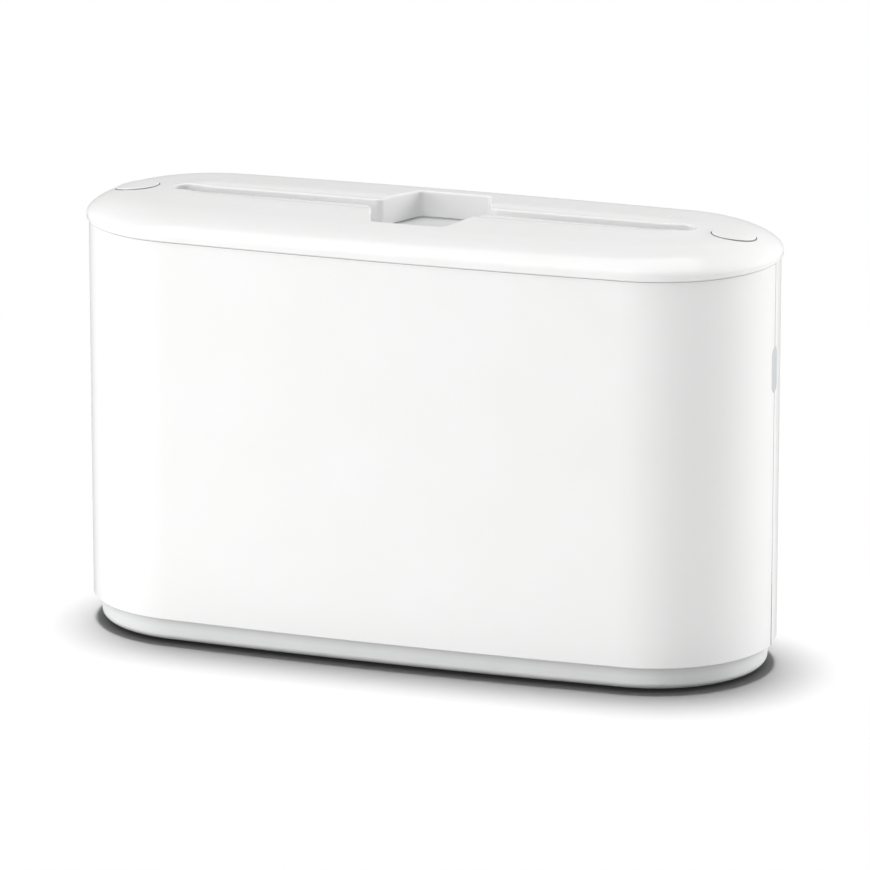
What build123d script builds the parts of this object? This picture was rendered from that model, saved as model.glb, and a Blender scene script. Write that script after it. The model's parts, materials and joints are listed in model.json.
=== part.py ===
from build123d import *
from math import cos, hypot, pi, radians, sin, sqrt
import os

os.makedirs("parts", exist_ok=True)

# Countertop box for pop-up paper towels. Millimetres, +X right, -Y front, +Z up.
# The origin is the middle of the surface that the feet stand on.

# Plan of the lid: two end arcs joined by two long arcs that bow outwards
lid_half_width = 161.0
lid_half_depth = 58.2
side_bow = 2.5
rim_overhang = 0.95

# Heights
foot_proud = 1.8
band_height = 10.7
cover_height = 173.7
parting_gap = 0.3

# Lid crown: upright rim, rounded shoulder, then a gentle dome to the slot
rim_height = 2.9
rim_chamfer = 0.6
shoulder_width = 18.0
shoulder_height = 6.5
shoulder_power = 1.7
dome_height = 3.8
dome_peak_room = 0.2
dome_cap = 4.2
lid_wall = 2.4
shoulder_stations = 7
dome_stations = 4

# Slot and the wide hand opening in its middle
slot_end_room = 38.5
slot_width = 11.4
hand_depth = 64.0
hand_end_width = 33.6
hand_slot_width = 52.4
hand_end_corner = 2.8
hand_slot_corner = 4.5
opening_round = 1.0
skirt_wall = 2.0
skirt_above_parting = 0.5

# Stiffening ribs inside the lid, placed from its ends
lid_rib_wall = 1.4
lid_rib_rooms = (49.0, 81.0, 116.0)
lid_rib_gap = 0.3

# Lid frame: a ring screwed up into the lid, whose lip drops inside the covers
lip_depth = 5.5
lip_wall = 1.7
lip_clearance = 0.4
frame_lift = 1.0
frame_plate = 2.0
frame_reach = 6.15
frame_lug_radius = 4.6
frame_boss_radius = 3.4
frame_screw_inset = 9.0
frame_screw_room = 99.0
frame_screw_turn = 45.0
frame_screw_reach = 4.0

# Covers and their seam
cover_wall = 2.5
cover_chamfer = 0.4
seam_gap = 0.3
tongue_wall = 1.1
tongue_reach = 3.6
tongue_clearance = 0.1
tongue_end_gap = 1.0
groove_end_gap = 0.8
flange_wall = 2.0
flange_depth = 6.6
upper_flange_height = 6.0
lower_flange_height = 14.0
lower_flange_z = 62.0

# Level windows in the seam
window_width = 7.0
window_height = 20.2
window_low = 128.4
window_clearance = 0.15
window_flange = 2.5
window_flange_wall = 1.2

# Base tray
band_inset = 3.2
band_draft = 0.95
band_round = 3.0
tray_wall = 2.2
tray_floor = 2.5
spigot_height = 11.5
spigot_wall = 2.0
spigot_clearance = 0.15
spigot_foot = 2.0

# Snap nubs of the covers in the spigot
nub_places = (-80.0, 0.0, 80.0)
nub_width = 10.0
nub_height = 2.0
nub_depth = 1.1
nub_rise = 5.5
nub_clearance = 0.4

# Cover screws, on a line round each end
cover_screw_inset = 13.9
cover_screw_turn = 38.5
screw_radius = 1.5
screw_fit = 0.05
screw_slack = 0.2
screw_head_radius = 2.8
screw_head_height = 2.0
pillar_radius = 4.5
pillar_bore = 3.1
pillar_cap = 2.5
boss_radius = 4.0
boss_gap = 0.3
boss_height = 15.0
cover_screw_reach = 11.0
web_wall = 2.0

# Feet, on a line round each end
foot_radius = 9.0
foot_inset = 22.0
foot_turn = 78.5
foot_sunk = 1.2
foot_clearance = 0.1
foot_round = 0.6

# Towel magazine: the open well that holds the stack
well_end_room = 38.0
well_side_room = 13.2
well_corner = 8.0
magazine_wall = 1.8
magazine_below_parting = 6.2
magazine_floor_gap = 0.3
view_slot_width = 10.0
view_slot_low = 20.0
notch_width = 70.0
notch_drop = 30.0
magazine_rib_places = (-100.0, -60.0, 60.0, 100.0)
magazine_rib_wall = 1.5
magazine_rib_depth = 2.6
magazine_rib_lift = 2.0
tab_width = 40.0
tab_length = 10.0
tab_wall = 2.5
tab_round = 4.0
tab_rise = 8.0
tab_screw_y = 15.0
tab_boss_radius = 3.6
tab_screw_reach = 6.5

# Platform that the stack lies on, at its upper stop
platform_drop = 0.8
platform_side_gap = 1.0
platform_plate = 2.0
platform_skirt = 10.0
platform_wall = 1.6
platform_round = 0.8
platform_travel = 140.0
stop_clearance = 0.3
ear_tab_width = 9.4
ear_height = 7.5
ear_leg = 10.0
ear_reach = 0.4
platform_rib_wall = 1.4
platform_rib_depth = 5.0

# Conical lift springs
lift_spring_room = 61.0
lift_wire = 1.8
lift_low_radius = 34.0
lift_high_radius = 20.0
lift_turns = 6
spring_seat_height = 3.5
spring_seat_wall = 2.5
seat_clearance = 0.5
spring_play = 0.1

# Push buttons
button_room = 20.3
button_radius = 9.8
button_gap = 0.3
button_proud = 0.7
button_round = 0.5
button_skirt = 1.4
button_skirt_depth = 5.0
button_roof = 1.5
button_travel = 3.5
collar_wall = 1.6
collar_depth = 5.5

# Button spring
button_spring_radius = 7.1
button_wire = 0.9
button_spring_turns = 4

# Latch: a blade under each button drives a sliding bolt by a pin in a slanted slot
blade_wall = 6.0
pin_radius = 1.5
pin_clearance = 0.1
blade_margin = 1.9
pin_offset = 1.8
slide_clearance = 0.25
bolt_width = 10.6
bolt_height = 5.2
bolt_tail = 4.2
bolt_engagement = 2.6
bolt_bevel = 2.4
catch_gap = 0.4
catch_to_carrier = 1.1

# Latch carrier under the lid
carrier_below_parting = 1.3
carrier_plate = 2.5
carrier_wall = 2.2
carrier_floor = 2.1
carrier_length = 20.8
carrier_ear = 19.5
carrier_screw_y = 15.5
carrier_boss_radius = 3.6
carrier_pad = 1.8
carrier_round = 3.0
carrier_screw_reach = 6.0

# Steel catch clipped round the seam flanges
catch_sheet = 1.0
catch_clearance = 0.1
catch_length = 5.5
catch_bend = 0.8
seam_screw_radius = 1.2
seam_head_radius = 2.2
seam_head_height = 1.5
seam_screw_tip = 1.8

# Reach of cutting shapes past the housing and past a face they cut, the small bite
# that joins two shapes, and how close a point on a wall is to count as on it
far = 300.0
past = 1.0
bite = 0.5
touching = 0.05

# Places worked out from the sizes above
end_radius = lid_half_depth - side_bow
end_centre = lid_half_width - end_radius
side_radius = (end_centre**2 + lid_half_depth**2 - end_radius**2) / (2 * side_bow)
side_offset = side_radius - lid_half_depth
dome_reach = lid_half_depth - dome_peak_room
dome_top_inset = lid_half_depth - dome_cap
slot_length = 2 * (lid_half_width - slot_end_room)
well_length = 2 * (lid_half_width - well_end_room)
well_depth = 2 * (lid_half_depth - well_side_room)
lift_spring_x = well_length / 2 - lift_spring_room
button_x = lid_half_width - button_room
pin_x = button_x + pin_offset
cover_low = foot_proud + band_height
parting = cover_low + cover_height
inner_inset = rim_overhang + cover_wall
floor_top = foot_proud + tray_floor
skirt_low = parting + skirt_above_parting
lid_low = parting + parting_gap
lip_low = parting - lip_depth
frame_low = parting + frame_lift
frame_top = frame_low + frame_plate
platform_top = skirt_low - platform_drop
platform_under = platform_top - platform_plate
platform_skirt_low = platform_top - platform_skirt
magazine_top = parting - magazine_below_parting
view_slot_top = platform_skirt_low - ear_leg + ear_height + stop_clearance
spigot_top = cover_low + spigot_height
end_wall = lid_half_width - inner_inset
flange_top = lip_low - lip_clearance - seam_gap
upper_flange_low = flange_top - upper_flange_height
flange_face = end_wall - flange_depth
catch_low = upper_flange_low - catch_clearance - catch_sheet
bolt_top = catch_low - catch_gap
bolt_low = bolt_top - bolt_height
pin_z = (bolt_top + bolt_low) / 2
slot_radius = pin_radius + pin_clearance
carrier_face = flange_face - catch_to_carrier
carrier_top = parting - carrier_below_parting
carrier_seat = carrier_top + carrier_pad
blade_in = pin_x - button_travel - slot_radius - blade_margin
blade_out = pin_x + slot_radius + blade_margin
bolt_tip = flange_face + bolt_engagement
collar_radius = button_radius + button_gap + collar_wall


def oval(inset, height=0.0):
    """Face of the housing's plan, drawn in by a wall or a step."""
    reach = (end_radius - inset) / (side_radius - end_radius)
    tangent_x = end_centre * (1 + reach)
    tangent_y = side_offset * reach
    half_width = lid_half_width - inset
    half_depth = lid_half_depth - inset
    outline = Wire([
        ThreePointArc((tangent_x, -tangent_y), (half_width, 0), (tangent_x, tangent_y)),
        ThreePointArc((tangent_x, tangent_y), (0, half_depth), (-tangent_x, tangent_y)),
        ThreePointArc((-tangent_x, tangent_y), (-half_width, 0), (-tangent_x, -tangent_y)),
        ThreePointArc((-tangent_x, -tangent_y), (0, -half_depth), (tangent_x, -tangent_y)),
    ])
    return Pos(0, 0, height) * Face(outline)


def end_place(inset, turn):
    """Point at the right-hand end, in from the lid's edge and turned from the X axis."""
    reach = end_radius - inset
    return end_centre + reach * cos(radians(turn)), reach * sin(radians(turn))


def side_place(x, inset):
    """Depth of a point along the rear side, in from the lid's edge."""
    return sqrt((side_radius - inset)**2 - x**2) - side_offset


def four_corners(x, y):
    """A place with its mirror images across both middles."""
    return [(sign_x * x, sign_y * y) for sign_x in (-1, 1) for sign_y in (-1, 1)]


def prism(face, low, high):
    """Upright solid on a plan, between two heights."""
    return extrude(Pos(0, 0, low) * face, high - low, dir=(0, 0, 1))


def ring(inset, wall, low, high):
    """Upright wall that follows the housing's plan."""
    return prism(oval(inset), low, high) - prism(oval(inset + wall), low - past, high + past)


def block(x_low, x_high, y_low, y_high, z_low, z_high):
    """Box between its limits."""
    size = (x_high - x_low, y_high - y_low, z_high - z_low)
    middle = ((x_high + x_low) / 2, (y_high + y_low) / 2, (z_high + z_low) / 2)
    return Pos(*middle) * Box(*size)


def post(x, y, radius, low, high):
    """Upright round bar."""
    return Pos(x, y, (low + high) / 2) * Cylinder(radius, high - low)


def cross_bar(x, z, radius, y_low, y_high):
    """Round bar along Y."""
    return Pos(x, (y_low + y_high) / 2, z) * Rot(90, 0, 0) * Cylinder(radius, y_high - y_low)


def mirrored(shape):
    """Left-hand copy of a right-hand piece."""
    return mirror(shape, about=Plane.YZ)


def both_ends(shape):
    """A right-hand shape with its left-hand copy."""
    return shape + mirrored(shape)


def save(shape, node):
    """Write one node."""
    export_step(shape, "parts/" + node + ".step")


# Crown of the lid
def crown_rise(inset):
    """Height of the lid above the parting line, at a distance in from its rim."""
    run = max(0.0, 1 - inset / shoulder_width)
    shoulder = shoulder_height * (1 - run**shoulder_power) ** (1 / shoulder_power)
    dome = dome_height * (1 - (1 - inset / dome_reach) ** 2)
    return rim_height + shoulder + dome


def crown_stations():
    """Distances in from the rim, close together where the shoulder turns."""
    shoulder = [shoulder_width * (step / shoulder_stations) ** 2 for step in range(1, shoulder_stations + 1)]
    dome_width = dome_top_inset - shoulder_width
    dome = [shoulder_width + dome_width * step / dome_stations for step in range(1, dome_stations + 1)]
    return shoulder + dome


def crown(skin, low):
    """Solid under the lid's outer face, or under its inner face when skin is the wall."""
    sections = [oval(skin, parting + rim_height)]
    step = 0.05
    for inset in crown_stations():
        slope = (crown_rise(inset + step) - crown_rise(inset - step)) / (2 * step)
        rise = crown_rise(inset) - skin / hypot(slope, 1)
        if rise > rim_height + step:
            sections.append(oval(inset + skin * slope / hypot(slope, 1), parting + rise))
    return loft(sections) + prism(oval(skin), low, parting + rim_height)


def opening(grow=0.0):
    """Plan of the slot with the six-sided hand opening in its middle."""
    hand = Polygon(
        (hand_slot_width / 2, slot_width / 2), (hand_end_width / 2, hand_depth / 2),
        (-hand_end_width / 2, hand_depth / 2), (-hand_slot_width / 2, slot_width / 2),
        (-hand_slot_width / 2, -slot_width / 2), (-hand_end_width / 2, -hand_depth / 2),
        (hand_end_width / 2, -hand_depth / 2), (hand_slot_width / 2, -slot_width / 2),
        align=None)
    plan = SlotOverall(slot_length, slot_width) + hand
    ends = [v for v in plan.vertices() if abs(v.Y) > slot_width]
    plan = fillet(ends, hand_end_corner)
    meetings = [v for v in plan.vertices() if abs(v.X) < hand_slot_width and abs(v.Y) < slot_width]
    plan = fillet(meetings, hand_slot_corner)
    return offset(plan, grow) if grow else plan


def lid_blank(low):
    """Full lid form with the opening and button holes cut, and their upper edges rounded."""
    blank = crown(0.0, low) - prism(opening(), low - far, low + far)
    upper = [
        edge for edge in blank.edges()
        if edge.center().Z > parting + rim_height + shoulder_height
        and abs(edge.center().Y) < hand_depth / 2 + past
        and abs(edge.center().X) < slot_length / 2 + past
        and edge.bounding_box().size.Z < rim_height
        and lies_on_opening(edge)
    ]
    blank = fillet(upper, opening_round)
    hole = post(button_x, 0, button_radius + button_gap, low - far, low + far)
    return blank - both_ends(hole)


def lies_on_opening(edge):
    """True for an edge along the wall of the slot and hand opening."""
    middle = edge.position_at(0.5)
    return opening().distance_to(Vertex(middle.X, middle.Y, 0)) < touching


def frame_screw_places():
    """Screws of the lid frame: two on each side and two round each end."""
    x = lid_half_width - frame_screw_room
    along_sides = four_corners(x, side_place(x, frame_screw_inset))
    return along_sides + four_corners(*end_place(frame_screw_inset, frame_screw_turn))


def lid_features():
    """Skirt, collars, bosses and ribs inside the lid, running up into the crown."""
    high = parting + far
    features = prism(opening(skirt_wall), skirt_low, high)
    features += both_ends(post(button_x, 0, collar_radius, parting + collar_depth, high))
    for x, y in four_corners(button_x, carrier_screw_y):
        features += post(x, y, carrier_boss_radius, carrier_seat, high)
    for x, y in frame_screw_places():
        features += post(x, y, frame_boss_radius, frame_top, high)
    rib_low = frame_top + lid_rib_gap
    inside = prism(oval(inner_inset + lip_clearance), rib_low, high)
    for room in lid_rib_rooms:
        middle = lid_half_width - room
        rib = block(middle - lid_rib_wall / 2, middle + lid_rib_wall / 2, -lid_half_depth, lid_half_depth,
                    rib_low, high)
        features += both_ends(rib & inside)
    return features


def lid_shell():
    """Lid moulding."""
    low = lid_low - rim_height
    blank = lid_blank(low)
    shell = blank - crown(lid_wall, low - past) - block(-far, far, -far, far, low - far, lid_low)
    bevel = loft([oval(rim_chamfer, lid_low), oval(0.0, lid_low + rim_chamfer)], ruled=True)
    shell -= prism(oval(-past), lid_low, lid_low + rim_chamfer) - bevel
    shell += lid_features() & blank
    for x, y in four_corners(button_x, carrier_screw_y):
        shell -= post(x, y, screw_radius + screw_fit, carrier_seat - bite,
                      carrier_seat + carrier_screw_reach + bite)
    for x, y in frame_screw_places():
        shell -= post(x, y, screw_radius + screw_fit, frame_top - bite, frame_top + frame_screw_reach + bite)
    return shell


def lid_frame():
    """Ring under the lid: the lip, and a plate with a lug at each screw."""
    outer = inner_inset + lip_clearance
    frame = ring(outer, lip_wall, lip_low, frame_top) + ring(outer, frame_reach, frame_low, frame_top)
    lugs = Part() + [post(x, y, frame_lug_radius, frame_low, frame_top) for x, y in frame_screw_places()]
    frame += lugs & prism(oval(outer), frame_low, frame_top)
    frame -= both_ends(post(button_x, 0, collar_radius, frame_low - bite, frame_top + bite))
    for x, y in frame_screw_places():
        frame -= post(x, y, screw_radius + screw_slack, lip_low, frame_top + bite)
    return frame


def frame_screws():
    """Screws up through the frame into the lid."""
    screws = []
    for x, y in frame_screw_places():
        shank = post(x, y, screw_radius, frame_low, frame_top + frame_screw_reach)
        screws.append(shank + post(x, y, screw_head_radius, frame_low - screw_head_height, frame_low))
    return screws


# Buttons, bolts and what carries them, for the right-hand end
def button_roof_z():
    """Underside of the button's top, low enough for its outer edge."""
    edge_inset = lid_half_width - button_x - button_radius
    return parting + crown_rise(edge_inset) + button_proud - button_roof


def button():
    """Round cap that follows the dome, with its blade and slanted slot."""
    roof = button_roof_z()
    skirt_low_z = roof - button_skirt_depth
    cap = post(button_x, 0, button_radius, skirt_low_z, parting + far)
    cap = cap & (Pos(0, 0, button_proud) * crown(0.0, lip_low))
    top_edges = [edge for edge in cap.edges() if edge.bounding_box().min.Z > roof and is_cap_rim(edge)]
    cap = fillet(top_edges, button_round)
    cap -= post(button_x, 0, button_radius - button_skirt, skirt_low_z - past, roof)
    blade_low = pin_z - slot_radius - blade_margin
    blade = block(blade_in, blade_out, -blade_wall / 2, blade_wall / 2, blade_low, roof + bite)
    return cap + blade - slanted_slot()


def is_cap_rim(edge):
    """True for an edge on the button's round side."""
    middle = edge.position_at(0.5)
    return abs(hypot(middle.X - button_x, middle.Y) - button_radius) < touching


def slanted_slot():
    """Slot at 45 degrees that turns the blade's drop into the bolt's draw."""
    ends = [cross_bar(pin_x - step, pin_z + step, slot_radius, -blade_wall, blade_wall)
            for step in (0, button_travel)]
    length = button_travel * sqrt(2)
    middle = (pin_x - button_travel / 2, 0, pin_z + button_travel / 2)
    straight = Pos(*middle) * Rot(0, 45, 0) * Box(length, 2 * blade_wall, 2 * slot_radius)
    return ends[0] + ends[1] + straight


def bolt():
    """Sliding frame with its cross pin and bevelled nose."""
    inner = blade_in - slide_clearance - bolt_tail
    frame = block(inner, bolt_tip, -bolt_width / 2, bolt_width / 2, bolt_low, bolt_top)
    nose = frame.edges().filter_by(Axis.Y).group_by(Axis.X)[-1].sort_by(Axis.Z)[0]
    frame = chamfer(nose, bolt_bevel)
    half = blade_wall / 2 + slide_clearance
    frame -= block(blade_in - slide_clearance, blade_out + button_travel + slide_clearance,
                   -half, half, bolt_low - past, bolt_top + past)
    pin_half = bolt_width / 2 - bite
    return frame + cross_bar(pin_x, pin_z, pin_radius, -pin_half, pin_half)


def latch_carrier():
    """Channel for the bolt, with a plate that screws to the lid's bosses."""
    inner = carrier_face - carrier_length
    half = bolt_width / 2 + slide_clearance
    low = bolt_low - slide_clearance - carrier_floor
    body = block(inner, carrier_face, -half - carrier_wall, half + carrier_wall, low, carrier_top)
    plate = block(inner, carrier_face, -carrier_ear, carrier_ear, carrier_top - carrier_plate, carrier_top)
    body += fillet(plate.edges().filter_by(Axis.Z), carrier_round)
    for side in (-1, 1):
        body += post(button_x, side * carrier_screw_y, carrier_boss_radius, carrier_top - bite, carrier_seat)
    body -= block(inner - past, carrier_face + past, -half, half,
                  bolt_low - slide_clearance, bolt_top + slide_clearance)
    body -= block(blade_in - slide_clearance, blade_out + slide_clearance, -blade_wall / 2 - slide_clearance,
                  blade_wall / 2 + slide_clearance, low - past, carrier_top + past)
    for side in (-1, 1):
        body -= post(button_x, side * carrier_screw_y, screw_radius + screw_slack, low, carrier_seat + bite)
    return body


def carrier_screws():
    """Two screws at each end that hold the carriers to the lid."""
    under = carrier_top - carrier_plate
    screws = []
    for x, y in four_corners(button_x, carrier_screw_y):
        shank = post(x, y, screw_radius, under, carrier_seat + carrier_screw_reach)
        screws.append(shank + post(x, y, screw_head_radius, under - screw_head_height, under))
    return screws


# Springs
def coil(centre_x, low, high, low_radius, high_radius, wire, turns):
    """Round wire wound on a cone, as tangent arcs of half a turn each."""
    def point(turn):
        share = turn / turns
        radius = low_radius + (high_radius - low_radius) * share
        return Vector(centre_x + radius * cos(2 * pi * turn), radius * sin(2 * pi * turn),
                      low + (high - low) * share)

    def heading(turn):
        share = turn / turns
        radius = low_radius + (high_radius - low_radius) * share
        shrink = (high_radius - low_radius) / turns
        along_x = shrink * cos(2 * pi * turn) - radius * 2 * pi * sin(2 * pi * turn)
        along_y = shrink * sin(2 * pi * turn) + radius * 2 * pi * cos(2 * pi * turn)
        return Vector(along_x, along_y, (high - low) / turns).normalized()

    arcs = []
    for half_turn in range(2 * turns):
        start, end = point(half_turn / 2), point((half_turn + 1) / 2)
        leaving, arriving = heading(half_turn / 2), heading((half_turn + 1) / 2)
        chord, spread = end - start, leaving + arriving
        square = 2 * (1 - leaving.dot(arriving))
        cross = chord.dot(spread)
        reach = (-cross + sqrt(cross**2 + square * chord.dot(chord))) / square
        middle = (start + leaving * reach + end - arriving * reach) * 0.5
        arcs.append(Edge.make_tangent_arc(start, leaving, middle))
        second = (end - arriving * reach - start - leaving * reach).normalized()
        arcs.append(Edge.make_tangent_arc(middle, second, end))
    section = Plane(origin=point(0), z_dir=heading(0)) * Circle(wire / 2)
    return sweep(section, path=Wire(arcs))


def lift_spring(centre_x):
    """Conical spring under one half of the platform."""
    low = floor_top + lift_wire / 2 + spring_play
    high = platform_under - lift_wire / 2 - spring_play
    return coil(centre_x, low, high, lift_low_radius, lift_high_radius, lift_wire, lift_turns)


def button_spring():
    """Return spring round the blade, between the carrier and the button's roof."""
    low = carrier_top + button_wire / 2 + spring_play
    high = button_roof_z() - button_wire / 2 - spring_play
    radius = button_spring_radius
    return coil(button_x, low, high, radius, radius, button_wire, button_spring_turns)


# Covers
def end_flanges(low, high):
    """Inward flange of the right-hand seam, both halves."""
    half = flange_wall + seam_gap / 2
    face = block(flange_face, end_wall + bite, -half, half, low, high)
    return face & prism(oval(inner_inset - bite), low, high)


def window_cut(grow):
    """Upright slot shape along X through the right-hand end wall."""
    height = window_height + 2 * grow
    plan = Plane.YZ * (Rot(0, 0, 90) * SlotOverall(height, window_width + 2 * grow))
    middle = window_low + window_height / 2
    return Pos(end_centre, 0, middle) * extrude(plan, end_radius, dir=(1, 0, 0))


def cover(side):
    """Half housing: side is -1 for the front and 1 for the rear."""
    wall = ring(rim_overhang, cover_wall, cover_low, parting)
    lowest = wall.faces().sort_by(Axis.Z)[0].outer_wire().edges()
    wall = chamfer(lowest, cover_chamfer)
    flanges = end_flanges(upper_flange_low, flange_top)
    flanges += end_flanges(lower_flange_z, lower_flange_z + lower_flange_height)
    wall += both_ends(flanges)
    wall &= half_space(side, seam_gap / 2)
    wall += cover_bosses(side) + cover_nubs(side)
    lap = lap_zone()
    if side > 0:
        wall += lap - window_zone()
    else:
        wall -= lap_groove()
    wall -= both_ends(window_cut(window_clearance))
    return wall - seam_screw_bars(seam_screw_radius + screw_slack)


def half_space(side, start):
    """Everything in front of or behind the seam plane, from a distance off it."""
    limits = sorted((side * start, side * far))
    return block(-far, far, *limits, -far, far)


def lap_zone():
    """Thin tongue on the rear cover that closes the seam from inside."""
    tongue = ring(inner_inset - tongue_wall, tongue_wall, spigot_top + tongue_end_gap,
                  upper_flange_low - tongue_end_gap)
    reach = block(-far, far, -tongue_reach, seam_gap, -far, far)
    middle = block(-end_centre, end_centre, -far, far, -far, far)
    lower = block(-far, far, -far, far, lower_flange_z - tongue_end_gap,
                  lower_flange_z + lower_flange_height + tongue_end_gap)
    return (tongue & reach) - middle - lower


def lap_groove():
    """Room for the tongue in the front cover."""
    groove = ring(inner_inset - tongue_wall - tongue_clearance, tongue_wall + past,
                  spigot_top + groove_end_gap, upper_flange_low - groove_end_gap)
    reach = block(-far, far, -tongue_reach - tongue_clearance, past, -far, far)
    middle = block(-end_centre, end_centre, -far, far, -far, far)
    lower = block(-far, far, -far, far, lower_flange_z - groove_end_gap,
                  lower_flange_z + lower_flange_height + groove_end_gap)
    return (groove & reach) - middle - lower


def window_zone():
    """Gap in the tongue behind each window."""
    margin = window_flange + bite
    zone = block(end_centre, far, -far, far, window_low - margin, window_low + window_height + margin)
    return both_ends(zone)


def cover_bosses(side):
    """Screw bosses low in the ends of a cover, each webbed to the wall."""
    low = spigot_top + boss_gap
    high = low + boss_height
    x, depth = end_place(cover_screw_inset, cover_screw_turn)
    y = side * depth
    web = block(x - web_wall / 2, x + web_wall / 2, *sorted((y, side * lid_half_depth)), low, high)
    web += block(x, lid_half_width, y - web_wall / 2, y + web_wall / 2, low, high)
    boss = post(x, y, boss_radius, low, high) + (web & prism(oval(inner_inset - bite), low, high))
    boss -= post(x, y, screw_radius + screw_fit, low - bite, low + cover_screw_reach + bite)
    return both_ends(boss)


def cover_nubs(side):
    """Snap nubs along the foot of a cover."""
    low = cover_low + nub_rise
    strip = ring(inner_inset - bite, nub_depth + bite, low, low + nub_height) & half_space(side, 0)
    return strip & row_of_blocks(nub_places, nub_width, low, low + nub_height)


def row_of_blocks(places, width, low, high):
    """Blocks right across the housing, one at each place along X."""
    blocks = [block(place - width / 2, place + width / 2, -far, far, low, high) for place in places]
    return Part() + blocks


def seam_screw_places():
    """Height of each cross screw at an end."""
    upper = (upper_flange_low + flange_top) / 2
    lower = lower_flange_z + lower_flange_height / 2
    return (upper, lower)


def seam_screw_x():
    """Cross screws pass through the middle of the flanges."""
    return flange_face + flange_depth / 2


def seam_screw_bars(radius):
    """Bars through the flanges, for their holes."""
    bars = [cross_bar(seam_screw_x(), height, radius, -flange_depth, flange_depth)
            for height in seam_screw_places()]
    return both_ends(bars[0] + bars[1])


def seam_screws():
    """Cross screws that pull the covers' flanges together."""
    screws = []
    upper, lower = seam_screw_places()
    for height in (upper, lower):
        face = flange_wall + seam_gap / 2
        if height == upper:
            face += catch_clearance + catch_sheet
        shank = cross_bar(seam_screw_x(), height, seam_screw_radius, -face, face + seam_screw_tip)
        head = cross_bar(seam_screw_x(), height, seam_head_radius, -face - seam_head_height, -face)
        screws.append(shank + head)
    return screws + [mirrored(screw) for screw in screws]


def latch_catch():
    """Bent steel clip round the upper flanges, whose underside holds the bolt."""
    inner = flange_wall + seam_gap / 2 + catch_clearance
    outer = inner + catch_sheet
    clip = block(flange_face, flange_face + catch_length, -outer, outer, catch_low, flange_top)
    clip -= block(flange_face - bite, end_wall, -inner, inner, catch_low + catch_sheet, flange_top + bite)
    lower = clip.edges().filter_by(Axis.X).group_by(Axis.Z)[0]
    clip = fillet(lower, catch_bend)
    return clip - seam_screw_bars(seam_screw_radius + screw_fit)


def level_window():
    """Lens that fills the slot in the seam, with a flange behind the wall."""
    lens = ring(rim_overhang, cover_wall, cover_low, parting) & window_cut(0.0)
    behind = ring(inner_inset, window_flange_wall, cover_low, parting) & window_cut(window_flange)
    return lens + behind


# Base
def base_tray():
    """Tray with its slanted band, spigot, screw pillars and spring seats."""
    top = cover_low
    upper_inset = rim_overhang + band_inset
    lower_inset = upper_inset + band_draft
    body = loft([oval(lower_inset, foot_proud), oval(upper_inset, top)], ruled=True)
    body = fillet(body.faces().sort_by(Axis.Z)[0].outer_wire().edges(), band_round)
    hollow = loft([oval(lower_inset + tray_wall, floor_top), oval(upper_inset + tray_wall, top)], ruled=True)
    spigot_inset = inner_inset + spigot_clearance
    joint = ring(spigot_inset, upper_inset + tray_wall - spigot_inset, top, top + spigot_foot)
    spigot = ring(spigot_inset, spigot_wall, top, spigot_top)
    tray = body - hollow + joint + spigot
    tray += both_ends(spring_seat())
    tab_seat = floor_top + tab_rise
    for x, y in cover_screw_places():
        tray += post(x, y, pillar_radius, floor_top - bite, spigot_top)
        tray -= post(x, y, pillar_bore, 0, spigot_top - pillar_cap)
        tray -= post(x, y, screw_radius + screw_slack, 0, spigot_top + bite)
    for x, y in four_corners(magazine_tab_x(), tab_screw_y):
        tray += post(x, y, tab_boss_radius, floor_top - bite, tab_seat)
        tray -= post(x, y, screw_radius + screw_fit, tab_seat - tab_screw_reach - bite, tab_seat + bite)
    for x, y in foot_places():
        tray -= post(x, y, foot_radius + foot_clearance, 0, foot_proud + foot_sunk)
    nub_low = cover_low + nub_rise
    snap_holes = row_of_blocks(nub_places, nub_width + 2 * nub_clearance, nub_low - nub_clearance,
                               nub_low + nub_height + nub_clearance)
    return tray - snap_holes


def spring_seat():
    """Ring on the tray's floor inside the lowest turn of a lift spring."""
    outer = lift_low_radius - lift_wire / 2 - seat_clearance
    high = floor_top + spring_seat_height
    solid = post(lift_spring_x, 0, outer, floor_top - bite, high)
    return solid - post(lift_spring_x, 0, outer - spring_seat_wall, floor_top - bite, high)


def cover_screw_places():
    """Screws of the covers, two round each end."""
    return four_corners(*end_place(cover_screw_inset, cover_screw_turn))


def foot_places():
    """Feet, two round each end: left front, left rear, right front, right rear."""
    return four_corners(*end_place(foot_inset, foot_turn))


def foot(x, y):
    """Rubber foot in its pocket."""
    pad = post(x, y, foot_radius, 0, foot_proud + foot_sunk)
    return fillet(pad.edges().sort_by(Axis.Z)[0], foot_round)


def cover_screws():
    """Screws up through the pillars into the covers."""
    seat = spigot_top - pillar_cap
    screws = []
    for x, y in cover_screw_places():
        shank = post(x, y, screw_radius, seat, spigot_top + boss_gap + cover_screw_reach)
        screws.append(shank + post(x, y, screw_head_radius, seat - screw_head_height, seat))
    return screws


# Magazine and platform
def magazine_tab_x():
    """Screw line of the magazine's end tabs."""
    return well_length / 2 + magazine_wall + tab_length / 2


def well_plan(grow):
    """Rounded rectangle of the towel well."""
    return RectangleRounded(well_length + 2 * grow, well_depth + 2 * grow, well_corner + grow)


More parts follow.
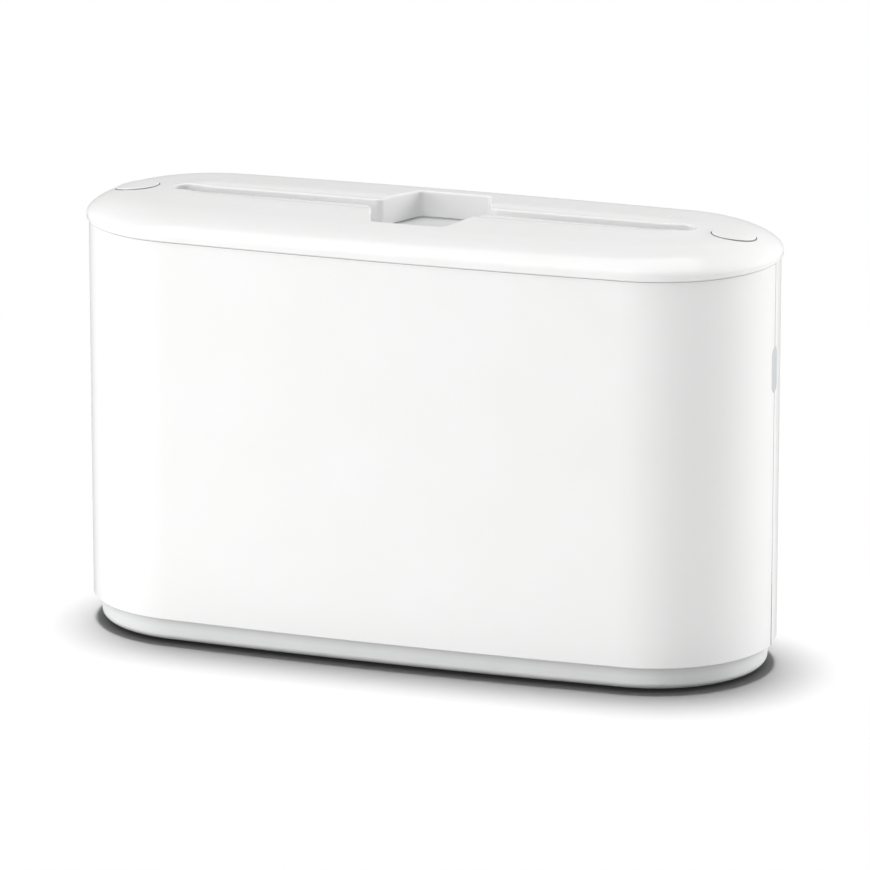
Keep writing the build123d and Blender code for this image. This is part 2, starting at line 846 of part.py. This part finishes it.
def towel_magazine():
    """Open well with view slots in its ends and finger notches in its long sides."""
    low = floor_top + magazine_floor_gap
    tube = prism(well_plan(magazine_wall), low, magazine_top)
    for place in magazine_rib_places:
        reach = well_depth / 2 + magazine_wall + magazine_rib_depth
        tube += block(place - magazine_rib_wall / 2, place + magazine_rib_wall / 2, -reach, reach,
                      spigot_top + magazine_rib_lift, magazine_top - notch_drop)
    tab_low = floor_top + tab_rise
    reach = well_length / 2 + magazine_wall + tab_length
    tabs = block(-reach, reach, -tab_width / 2, tab_width / 2, tab_low, tab_low + tab_wall)
    tube += fillet(tabs.edges().filter_by(Axis.Z), tab_round)
    tube -= prism(well_plan(0.0), low - past, magazine_top + past)
    view = block(-far, far, -view_slot_width / 2, view_slot_width / 2, view_slot_low, view_slot_top)
    notch = block(-notch_width / 2, notch_width / 2, -far, far, magazine_top - notch_drop, magazine_top + far)
    notch = fillet(notch.edges().filter_by(Axis.Y).group_by(Axis.Z)[0], notch_drop / 2)
    tube -= view + notch
    for x, y in four_corners(magazine_tab_x(), tab_screw_y):
        tube -= post(x, y, screw_radius + screw_slack, tab_low - past, tab_low + tab_wall + past)
    return tube


def magazine_screws():
    """Screws down through the tabs into the tray."""
    seat = floor_top + tab_rise + tab_wall
    screws = []
    for x, y in four_corners(magazine_tab_x(), tab_screw_y):
        shank = post(x, y, screw_radius, floor_top + tab_rise - tab_screw_reach, seat)
        screws.append(shank + post(x, y, screw_head_radius, seat, seat + screw_head_height))
    return screws


def towel_platform():
    """Ribbed plate that lifts the stack, with guide ears in the view slots."""
    plate = prism(well_plan(-platform_side_gap), platform_skirt_low, platform_top)
    plate = fillet(plate.faces().sort_by(Axis.Z)[-1].outer_wire().edges(), platform_round)
    plate -= prism(well_plan(-platform_side_gap - platform_wall), platform_skirt_low - past, platform_under)
    half_length = well_length / 2 - platform_side_gap
    half_depth = well_depth / 2 - platform_side_gap
    rib_low = platform_under - platform_rib_depth
    rib_high = platform_under + bite
    rib_half_length = half_length - platform_wall / 2
    rib_half_depth = half_depth - platform_wall / 2
    half_rib = platform_rib_wall / 2
    ribs = block(-rib_half_length, rib_half_length, -half_rib, half_rib, rib_low, rib_high)
    for place in (-lift_spring_x, 0, lift_spring_x):
        ribs += block(place - half_rib, place + half_rib, -rib_half_depth, rib_half_depth, rib_low, rib_high)
    seat_inner = lift_high_radius + lift_wire / 2 + seat_clearance
    for place in (-lift_spring_x, lift_spring_x):
        inside = post(place, 0, seat_inner, rib_low - past, platform_under)
        ribs -= inside
        ribs += post(place, 0, seat_inner + platform_wall, rib_low, rib_high) - inside
    plate += ribs
    ear_low = platform_skirt_low - ear_leg
    leg = block(half_length - platform_wall, half_length, -ear_tab_width / 2, ear_tab_width / 2, ear_low,
                platform_skirt_low + past)
    ear_out = well_length / 2 + magazine_wall + ear_reach
    ear = block(half_length - platform_wall, ear_out, -ear_tab_width / 2, ear_tab_width / 2, ear_low,
                ear_low + ear_height)
    return plate + both_ends(leg + ear)


pieces = {
    "lid_shell": lid_shell(),
    "lid_frame": lid_frame(),
    "right_button": button(),
    "right_button_spring": button_spring(),
    "right_latch_bolt": bolt(),
    "right_latch_carrier": latch_carrier(),
    "front_cover": cover(-1),
    "rear_cover": cover(1),
    "right_latch_catch": latch_catch(),
    "right_level_window": level_window(),
    "base_tray": base_tray(),
    "towel_magazine": towel_magazine(),
    "towel_platform": towel_platform(),
    "left_lift_spring": lift_spring(-lift_spring_x),
    "right_lift_spring": lift_spring(lift_spring_x),
}
for node in [name for name in pieces if name.startswith("right_") and name != "right_lift_spring"]:
    pieces[node.replace("right_", "left_")] = mirrored(pieces[node])
for x, y in foot_places():
    node = ("front" if y < 0 else "rear") + ("_left" if x < 0 else "_right") + "_foot"
    pieces[node] = foot(x, y)
for node, screws in (
    ("frame_screws", frame_screws()),
    ("carrier_screws", carrier_screws()),
    ("seam_screws", seam_screws()),
    ("cover_screws", cover_screws()),
    ("magazine_screws", magazine_screws()),
):
    pieces[node] = Compound(screws)
for node, shape in pieces.items():
    save(shape, node)
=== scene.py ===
# Looks of the countertop paper towel box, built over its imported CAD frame.
# Everything is in metres, +X right, -Y front, +Z up.

import json
from math import cos, radians, sin

import bpy
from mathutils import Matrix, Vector


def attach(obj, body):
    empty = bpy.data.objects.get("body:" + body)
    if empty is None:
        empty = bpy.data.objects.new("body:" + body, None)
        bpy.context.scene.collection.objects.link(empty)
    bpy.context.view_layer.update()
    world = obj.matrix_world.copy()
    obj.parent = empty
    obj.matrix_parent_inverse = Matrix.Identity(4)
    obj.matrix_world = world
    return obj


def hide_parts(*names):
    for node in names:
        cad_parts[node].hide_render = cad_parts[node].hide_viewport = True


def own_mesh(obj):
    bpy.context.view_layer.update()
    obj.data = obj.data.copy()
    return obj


MM = 0.001

# Camera: a long lens, to the right of the front and a little above
CAMERA_TURN = radians(20.15)
CAMERA_RISE = radians(14.87)
CAMERA_DISTANCE = 2999.5 * MM
CAMERA_TARGET = Vector((1.83 * MM, 0.0, 94.5 * MM))
CAMERA_REACH = 50.0
LENS = 277.7
SENSOR = 36.0

# Studio: floor, the card that reflections see just above it, and the even surround
FLOOR_SIZE = 24.0
CARD_HEIGHT = 0.2 * MM
CARD_GLOW = 0.42
SURROUND_GLOW = 0.37
WHITE = (1.0, 1.0, 1.0, 1.0)
BLACK = (0.0, 0.0, 0.0, 1.0)

# Soft lights aim at the middle of the box. The top strip faces straight down instead,
# and is turned to set where the lid's highlight runs.
AIM = (0, 0, 0.1)
STRIP_PLACE = (-0.61, -0.412, 1.2)
STRIP_TURN = radians(36.9)

# Strips of light inside the lid: their height, the height that they aim at, how wide
# they are, and watts for each metre of length
GLOW_HEIGHT = 191 * MM
GLOW_AIM_HEIGHT = 186 * MM
GLOW_WIDTH = 3 * MM
GLOW_PER_METRE = 0.03

# Painted shade in the gap between the covers: half its width up the side, and at the foot,
# and the heights between which it widens
SEAM_SHADE = 0.17 * MM
SEAM_SHADE_AT_FOOT = 0.5 * MM
SEAM_WIDENS_BELOW = 60 * MM
SEAM_FOOT = 12 * MM

# Painted shade in the gap round the buttons: the buttons' axis, the middle of the gap from it, and
# half its width
BUTTON_X = 140.7 * MM
BUTTON_GAP = 9.95 * MM
BUTTON_SHADE = 0.18 * MM

# Painted shade in the tray's corners: how far from a corner it reaches, and the rays that look for
# one
SHADE_REACH = 5 * MM
SHADE_RAYS = 8

# Springs: points nearer than WELD are joined, and edges flatter than SMOOTH_BELOW look smooth.
WELD = 0.001 * MM
SMOOTH_BELOW = radians(40)

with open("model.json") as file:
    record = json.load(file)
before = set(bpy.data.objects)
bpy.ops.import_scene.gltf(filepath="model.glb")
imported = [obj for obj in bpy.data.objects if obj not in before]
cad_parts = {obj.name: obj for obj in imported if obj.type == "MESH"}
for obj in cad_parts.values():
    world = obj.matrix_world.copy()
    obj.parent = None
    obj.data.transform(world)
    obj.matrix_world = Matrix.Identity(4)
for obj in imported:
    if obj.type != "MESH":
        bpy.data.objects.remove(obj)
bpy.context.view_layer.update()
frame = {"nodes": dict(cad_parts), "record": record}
bpy.ops.object.select_all(action="DESELECT")


# Nodes and colours
def linear(hex_colour):
    """Linear colour of an sRGB hex value."""
    channels = [int(hex_colour[place:place + 2], 16) / 255 for place in (1, 3, 5)]
    return [c / 12.92 if c <= 0.04045 else ((c + 0.055) / 1.055) ** 2.4 for c in channels] + [1.0]


def add(tree, kind, settings=None, links=None):
    """Add a node, set its values and sockets, and link sockets to other nodes' outputs."""
    node = tree.nodes.new(kind)
    for name, value in (settings or {}).items():
        if name in node.inputs.keys():
            node.inputs[name].default_value = value
        else:
            setattr(node, name, value)
    for name, source in (links or {}).items():
        tree.links.new(source, node.inputs[name])
    return node


def mixed(node):
    """Colour output of a Mix node, which has one output for each of its data types."""
    return next(socket for socket in node.outputs if socket.type == "RGBA")


def per_mm(size):
    """Noise scale for a pattern of that size in millimetres, on coordinates in metres."""
    return 1.0 / (size * MM)


def blank_material(name):
    """Material with an output and a principled shader, ready for its pattern."""
    material = bpy.data.materials.new(name)
    material.use_nodes = True
    tree = material.node_tree
    tree.nodes.clear()
    shader = add(tree, "ShaderNodeBsdfPrincipled")
    add(tree, "ShaderNodeOutputMaterial", links={"Surface": shader.outputs["BSDF"]})
    place = add(tree, "ShaderNodeTexCoord")
    return material, tree, shader, place.outputs["Object"]


def node_of(material, kind):
    """The one node of a kind in a material."""
    return next(node for node in material.node_tree.nodes if node.type == kind)


def paint_shade(material, where, colour):
    """Painted shade over a material's own colour, where a pattern is 1."""
    tree = material.node_tree
    base = node_of(material, "BSDF_PRINCIPLED").inputs["Base Color"]
    shade_mix = add(tree, "ShaderNodeMix", {"data_type": "RGBA", "B": linear(colour)},
                {"Factor": where, "A": base.links[0].from_socket})
    tree.links.new(mixed(shade_mix), base)


# Finishes
def polished_abs(name):
    """Injection-moulded ABS from a polished mould.

    Clean white with a wet-looking gloss. Reflections stay sharp, but bend a
    little where the wall sank behind ribs and bosses as it cooled.
    """
    material, tree, shader, place = blank_material(name)
    sink = add(tree, "ShaderNodeTexNoise", {"Scale": per_mm(46), "Detail": 1.0}, {"Vector": place})
    skin = add(tree, "ShaderNodeTexNoise", {"Scale": per_mm(1.6), "Detail": 2.0}, {"Vector": place})
    wave = add(tree, "ShaderNodeBump", {"Strength": 0.05, "Distance": 0.4 * MM},
               {"Height": sink.outputs["Fac"]})
    peel = add(tree, "ShaderNodeBump", {"Strength": 0.02, "Distance": 0.02 * MM},
               {"Height": skin.outputs["Fac"], "Normal": wave.outputs["Normal"]})
    tint = add(tree, "ShaderNodeMix",
               {"data_type": "RGBA", "A": linear("#ebebea"), "B": linear("#eeeeee")},
               {"Factor": sink.outputs["Fac"]})
    shine = add(tree, "ShaderNodeMapRange", {"To Min": 0.13, "To Max": 0.17},
                {"Value": skin.outputs["Fac"]})
    tree.links.new(mixed(tint), shader.inputs["Base Color"])
    tree.links.new(shine.outputs["Result"], shader.inputs["Roughness"])
    tree.links.new(peel.outputs["Normal"], shader.inputs["Normal"])
    shader.inputs["IOR"].default_value = 1.53
    return material


def abs_with_seam_shade():
    """Covers: polished ABS, with painted shade that greys the gap between the halves.

    It reads as a fine dark line down each end, a little wider at the foot,
    where more shade is painted into the gap.
    """
    material = polished_abs("polished_white_abs_with_painted_seam_shade")
    tree = material.node_tree
    place = node_of(material, "TEX_COORD").outputs["Object"]
    axes = add(tree, "ShaderNodeSeparateXYZ", links={"Vector": place})
    width = add(tree, "ShaderNodeMapRange",
                {"From Min": SEAM_WIDENS_BELOW, "From Max": SEAM_FOOT,
                 "To Min": SEAM_SHADE, "To Max": SEAM_SHADE_AT_FOOT},
                {"Value": axes.outputs["Z"]})
    reach = add(tree, "ShaderNodeMath", {"operation": "ABSOLUTE"}, {"Value": axes.outputs["Y"]})
    inside = add(tree, "ShaderNodeMath", {"operation": "LESS_THAN"})
    tree.links.new(reach.outputs["Value"], inside.inputs[0])
    tree.links.new(width.outputs["Result"], inside.inputs[1])
    # Painted shade: near-black in the gap between the covers, painted wider towards the foot.
    paint_shade(material, inside.outputs["Value"], "#3c3b39")
    return material


def abs_with_ring_shade():
    """Lid and buttons: polished ABS, with painted shade in the narrow gap round each button."""
    material = polished_abs("polished_white_abs_with_painted_gap_shade")
    tree = material.node_tree
    place = node_of(material, "TEX_COORD").outputs["Object"]
    folded = add(tree, "ShaderNodeVectorMath", {"operation": "ABSOLUTE"}, {"Vector": place})
    flat = add(tree, "ShaderNodeVectorMath", {"operation": "MULTIPLY"},
               {"Vector": folded.outputs["Vector"]})
    flat.inputs[1].default_value = (1, 1, 0)
    reach = add(tree, "ShaderNodeVectorMath", {"operation": "DISTANCE"},
                {"Vector": flat.outputs["Vector"]})
    reach.inputs[1].default_value = (BUTTON_X, 0, 0)
    ring = add(tree, "ShaderNodeMath", {"operation": "COMPARE"}, {"Value": reach.outputs["Value"]})
    ring.inputs[1].default_value = BUTTON_GAP
    ring.inputs[2].default_value = BUTTON_SHADE
    # Painted shade: grey in the narrow gap round each button.
    paint_shade(material, ring.outputs["Value"], "#a2a19f")
    return material


def textured_plastic(name, light, dark, grain, depth, low_shine, high_shine):
    """Moulded plastic with a fine even grain cut into the mould by spark erosion.

    The grain's size and depth are in millimetres.
    """
    material, tree, shader, place = blank_material(name)
    grit = add(tree, "ShaderNodeTexNoise", {"Scale": per_mm(grain), "Detail": 3.0, "Roughness": 0.6},
               {"Vector": place})
    cloud = add(tree, "ShaderNodeTexNoise", {"Scale": per_mm(30), "Detail": 2.0}, {"Vector": place})
    bump = add(tree, "ShaderNodeBump", {"Strength": 0.25, "Distance": depth * MM},
               {"Height": grit.outputs["Fac"]})
    tint = add(tree, "ShaderNodeMix", {"data_type": "RGBA", "A": linear(dark), "B": linear(light)},
               {"Factor": cloud.outputs["Fac"]})
    shine = add(tree, "ShaderNodeMapRange", {"To Min": low_shine, "To Max": high_shine},
                {"Value": grit.outputs["Fac"]})
    tree.links.new(mixed(tint), shader.inputs["Base Color"])
    tree.links.new(shine.outputs["Result"], shader.inputs["Roughness"])
    tree.links.new(bump.outputs["Normal"], shader.inputs["Normal"])
    return material


def satin_tray_abs():
    """Tray: the same ABS, a shade greyer, with a fine satin grain that spreads highlights.

    Painted shade darkens the corner under the covers' edge and round the foot, so the
    slanted band looks darker along both edges than in its middle.
    """
    material = textured_plastic("satin_grey_white_abs", light="#eaebeb", dark="#e5e6e6",
                                grain=0.5, depth=0.03, low_shine=0.34, high_shine=0.44)
    tree = material.node_tree
    base = node_of(material, "BSDF_PRINCIPLED").inputs["Base Color"]
    # Painted shade: ambient occlusion greys the tray towards #8e8d8b in its corners, under the
    # covers' edge and round the foot.
    corner = add(tree, "ShaderNodeAmbientOcclusion", {"Distance": SHADE_REACH, "samples": SHADE_RAYS})
    shade_mix = add(tree, "ShaderNodeMix", {"data_type": "RGBA", "A": linear("#8e8d8b")},
                {"Factor": corner.outputs["AO"], "B": base.links[0].from_socket})
    tree.links.new(mixed(shade_mix), base)
    return material


def satin_platform_abs():
    """Platform: light grey satin ABS, evenly dull so that the bottom of the well reads flat."""
    return textured_plastic("satin_light_grey_abs", light="#dcddde", dark="#d7d8d9",
                            grain=0.5, depth=0.03, low_shine=0.38, high_shine=0.48)


def waxy(material, ior, weight, depth):
    """Let light sink a millimetre or two into a material, as it does in a waxy plastic."""
    shader = node_of(material, "BSDF_PRINCIPLED")
    shader.inputs["IOR"].default_value = ior
    shader.inputs["Subsurface Weight"].default_value = weight
    shader.inputs["Subsurface Radius"].default_value = (depth * MM, depth * MM, depth * MM)
    return material


def matt_polypropylene():
    """Liner, ring and carriers: undyed polypropylene, slightly waxy and off-white."""
    plain = textured_plastic("matt_natural_polypropylene", light="#ececea", dark="#e5e5e2",
                             grain=0.8, depth=0.04, low_shine=0.42, high_shine=0.52)
    return waxy(plain, ior=1.49, weight=0.15, depth=2)


def acetal():
    """Bolts: milky acetal, smoother than the carriers so that it slides."""
    plain = textured_plastic("milky_acetal", light="#f1f1ee", dark="#ebebe8",
                             grain=1.2, depth=0.01, low_shine=0.26, high_shine=0.32)
    return waxy(plain, ior=1.48, weight=0.2, depth=1)


def frosted_polycarbonate():
    """Level windows: pale grey polycarbonate, finely frosted, with a soft gloss."""
    material, tree, shader, place = blank_material("frosted_grey_polycarbonate")
    frost = add(tree, "ShaderNodeTexNoise", {"Scale": per_mm(0.7), "Detail": 2.0}, {"Vector": place})
    bump = add(tree, "ShaderNodeBump", {"Strength": 0.15, "Distance": 0.02 * MM},
               {"Height": frost.outputs["Fac"]})
    tint = add(tree, "ShaderNodeMix",
               {"data_type": "RGBA", "A": linear("#cdd0d2"), "B": linear("#d6d8da")},
               {"Factor": frost.outputs["Fac"]})
    tree.links.new(mixed(tint), shader.inputs["Base Color"])
    tree.links.new(bump.outputs["Normal"], shader.inputs["Normal"])
    shader.inputs["IOR"].default_value = 1.585
    shader.inputs["Roughness"].default_value = 0.22
    shader.inputs["Transmission Weight"].default_value = 0.1
    return material


def zinc_plated_steel():
    """Catches and screws: bright zinc on rolled steel, with a faint cloudy bloom."""
    material, tree, shader, place = blank_material("zinc_plated_steel")
    bloom = add(tree, "ShaderNodeTexNoise", {"Scale": per_mm(2.5), "Detail": 4.0}, {"Vector": place})
    tint = add(tree, "ShaderNodeMix",
               {"data_type": "RGBA", "A": linear("#b4b8bc"), "B": linear("#cfd1d2")},
               {"Factor": bloom.outputs["Fac"]})
    shine = add(tree, "ShaderNodeMapRange", {"To Min": 0.26, "To Max": 0.42},
                {"Value": bloom.outputs["Fac"]})
    tree.links.new(mixed(tint), shader.inputs["Base Color"])
    tree.links.new(shine.outputs["Result"], shader.inputs["Roughness"])
    shader.inputs["Metallic"].default_value = 1.0
    return material


def drawn_spring_wire():
    """Springs: cold-drawn wire, grey and fairly bright, with fine draw marks."""
    material, tree, shader, place = blank_material("drawn_spring_steel")
    marks = add(tree, "ShaderNodeTexNoise", {"Scale": per_mm(0.6), "Detail": 3.0}, {"Vector": place})
    bump = add(tree, "ShaderNodeBump", {"Strength": 0.1, "Distance": 0.01 * MM},
               {"Height": marks.outputs["Fac"]})
    shine = add(tree, "ShaderNodeMapRange", {"To Min": 0.22, "To Max": 0.34},
                {"Value": marks.outputs["Fac"]})
    tree.links.new(shine.outputs["Result"], shader.inputs["Roughness"])
    tree.links.new(bump.outputs["Normal"], shader.inputs["Normal"])
    shader.inputs["Base Color"].default_value = linear("#a3a5a6")
    shader.inputs["Metallic"].default_value = 1.0
    return material


def grey_rubber():
    """Feet: soft grey thermoplastic rubber, almost without shine."""
    return textured_plastic("grey_rubber", light="#5a5c5e", dark="#525456",
                            grain=0.6, depth=0.05, low_shine=0.7, high_shine=0.85)


def finish_nodes():
    """Give every CAD node the finish of its material slot, and the covers their painted seam shade.
    """
    finishes = {
        "gloss_white": abs_with_ring_shade(),
        "tray_grey": satin_tray_abs(),
        "platform_grey": satin_platform_abs(),
        "liner_white": matt_polypropylene(),
        "acetal": acetal(),
        "window_grey": frosted_polycarbonate(),
        "steel": zinc_plated_steel(),
        "spring_steel": drawn_spring_wire(),
        "foot_rubber": grey_rubber(),
    }
    chosen = {part["node"]: finishes[part["material_slot"]] for part in frame["record"]["subparts"]}
    chosen["front_cover"] = chosen["rear_cover"] = abs_with_seam_shade()
    for node, piece in frame["nodes"].items():
        for slot in piece.material_slots:
            slot.material = chosen[node]


# Springs
def working_spring(node, body):
    """Coil in a CAD spring's place, welded and smoothed, that rides with its body and stays on its
    seat.
    """
    coil = bpy.data.objects.new(node + "_coil", frame["nodes"][node].data.copy())
    bpy.context.scene.collection.objects.link(coil)
    bpy.context.view_layer.objects.active = coil
    coil.select_set(True)
    bpy.ops.object.mode_set(mode="EDIT")
    bpy.ops.mesh.select_all(action="SELECT")
    bpy.ops.mesh.remove_doubles(threshold=WELD)
    bpy.ops.object.mode_set(mode="OBJECT")
    bpy.ops.object.shade_smooth_by_angle(angle=SMOOTH_BELOW)
    coil.select_set(False)
    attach(coil, body)
    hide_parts(node)
    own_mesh(coil)


# Floor and card
def floor():
    """Pale matt studio floor that runs out of sight behind the box."""
    bpy.ops.mesh.primitive_plane_add(size=FLOOR_SIZE, location=(0, 0, 0))
    board = bpy.context.object
    board.name = "studio_floor"
    material, tree, shader, place = blank_material("matt_pale_board")
    fibre = add(tree, "ShaderNodeTexNoise", {"Scale": per_mm(3), "Detail": 4.0}, {"Vector": place})
    shine = add(tree, "ShaderNodeMapRange", {"To Min": 0.85, "To Max": 0.95},
                {"Value": fibre.outputs["Fac"]})
    tree.links.new(shine.outputs["Result"], shader.inputs["Roughness"])
    shader.inputs["Base Color"].default_value = linear("#9c9c9c")
    shader.inputs["Specular IOR Level"].default_value = 0.0
    board.data.materials.append(material)
    return board


def mirror_card():
    """Grey card over the floor that only reflections see, so that the white box keeps an edge."""
    bpy.ops.mesh.primitive_plane_add(size=FLOOR_SIZE, location=(0, 0, CARD_HEIGHT))
    card = bpy.context.object
    card.name = "mirror_card"
    material, _, shader, _ = blank_material("grey_card")
    shader.inputs["Base Color"].default_value = BLACK
    shader.inputs["Specular IOR Level"].default_value = 0.0
    shader.inputs["Emission Color"].default_value = WHITE
    shader.inputs["Emission Strength"].default_value = CARD_GLOW
    card.data.materials.append(material)
    card.visible_camera = False
    card.visible_diffuse = False
    card.visible_transmission = False
    card.visible_shadow = False


# Lights
def direction(turn, rise):
    """Unit vector from the box, turned to the right of the front and raised above the floor."""
    return Vector((sin(turn) * cos(rise), -cos(turn) * cos(rise), sin(rise)))


def aimed(place, target):
    """Turn that points a lamp or camera at a target."""
    return (Vector(target) - Vector(place)).to_track_quat("-Z", "Y").to_euler()


def softbox(name, place, target, width, height, power):
    """Rectangular soft light."""
    data = bpy.data.lights.new(name, "AREA")
    data.shape = "RECTANGLE"
    data.size = width
    data.size_y = height
    data.energy = power
    lamp = bpy.data.objects.new(name, data)
    lamp.location = place
    lamp.rotation_euler = aimed(place, target)
    bpy.context.scene.collection.objects.link(lamp)
    return lamp


def sky_light(name, turn, rise, spread, power):
    """Far disc of light, like a bright patch of sky. Its angles are in degrees."""
    data = bpy.data.lights.new(name, "SUN")
    data.energy = power
    data.angle = radians(spread)
    lamp = bpy.data.objects.new(name, data)
    lamp.rotation_euler = aimed(direction(radians(turn), radians(rise)), (0, 0, 0))
    bpy.context.scene.collection.objects.link(lamp)
    return lamp


def inner_glow(name, place, target, length):
    """Small strip of light inside the lid, for the daylight that its thin white walls let through."""
    lamp = softbox(name, (*place, GLOW_HEIGHT), (*target, GLOW_AIM_HEIGHT),
                   length, GLOW_WIDTH, GLOW_PER_METRE * length)
    lamp.visible_camera = False
    lamp.visible_glossy = False
    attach(lamp, "lid")


def lights_only(lamp, piece):
    """Make a lamp light one piece and nothing else."""
    group = bpy.data.collections.new(lamp.name + "_lights")
    group.objects.link(piece)
    lamp.light_linking.receiver_collection = group


def leaves_out(lamp, piece):
    """Make a lamp light everything but one piece."""
    group = bpy.data.collections.new(lamp.name + "_leaves_out")
    group.objects.link(piece)
    group.collection_objects[0].light_linking.link_state = "EXCLUDE"
    lamp.light_linking.receiver_collection = group


def light_floor(board):
    """Lights of the floor alone, nearly overhead from the left and back left, for its soft shadow."""
    side = sky_light("side_floor_light", turn=-90, rise=84, spread=14, power=0.95)
    high = sky_light("high_floor_light", turn=-150, rise=86, spread=16, power=7.35)
    for lamp in (side, high):
        lights_only(lamp, board)


def light_box(board):
    """Lights of the box. All but the strips inside the lid leave the floor out."""
    strip = softbox("top_strip", STRIP_PLACE, AIM, width=2.46, height=0.99, power=11.1)
    strip.rotation_euler = (0, 0, STRIP_TURN)
    backdrop = softbox("backdrop", (-0.7, 2.4, 0.9), AIM, width=6.0, height=1.8, power=7.0)
    left = softbox("left_softbox", (-1.3, -1.1, 0.35), AIM, width=1.0, height=0.9, power=14.5)
    right = softbox("right_softbox", (1.2, 0.85, 0.55), AIM, width=0.9, height=0.9, power=17.5)
    key = sky_light("key_light", turn=-30, rise=55, spread=50, power=1.05)
    lid = sky_light("lid_light", turn=20, rise=90, spread=60, power=0.67)
    for lamp in (strip, backdrop):
        lamp.visible_diffuse = False
        lamp.visible_camera = False
    for lamp in (key, lid, right):
        lamp.visible_glossy = False
    for lamp in (strip, backdrop, left, right, key, lid):
        leaves_out(lamp, board)
    inner_glow("left_inner_glow", (-34 * MM, 21 * MM), (-20 * MM, 21 * MM), length=24 * MM)
    inner_glow("rear_inner_glow", (0, 45 * MM), (0, 33 * MM), length=50 * MM)


def surround():
    """Even white surround, and plain sRGB tones for the picture."""
    world = bpy.data.worlds.new("studio_surround")
    world.use_nodes = True
    backing = world.node_tree.nodes["Background"]
    backing.inputs["Color"].default_value = WHITE
    backing.inputs["Strength"].default_value = SURROUND_GLOW
    bpy.context.scene.world = world
    bpy.context.scene.view_settings.view_transform = "Standard"


def place_camera():
    """Camera at the photo's angle."""
    lens = bpy.data.cameras.new("camera")
    lens.lens = LENS
    lens.sensor_width = SENSOR
    lens.clip_end = CAMERA_REACH
    camera = bpy.data.objects.new("camera", lens)
    camera.location = CAMERA_TARGET + direction(CAMERA_TURN, CAMERA_RISE) * CAMERA_DISTANCE
    camera.rotation_euler = aimed(camera.location, CAMERA_TARGET)
    bpy.context.scene.collection.objects.link(camera)
    bpy.context.scene.camera = camera


# Build
finish_nodes()
for side in ("left", "right"):
    working_spring(side + "_lift_spring", "housing")
    working_spring(side + "_button_spring", "lid")
surround()
floor_board = floor()
light_floor(floor_board)
light_box(floor_board)
mirror_card()
place_camera()
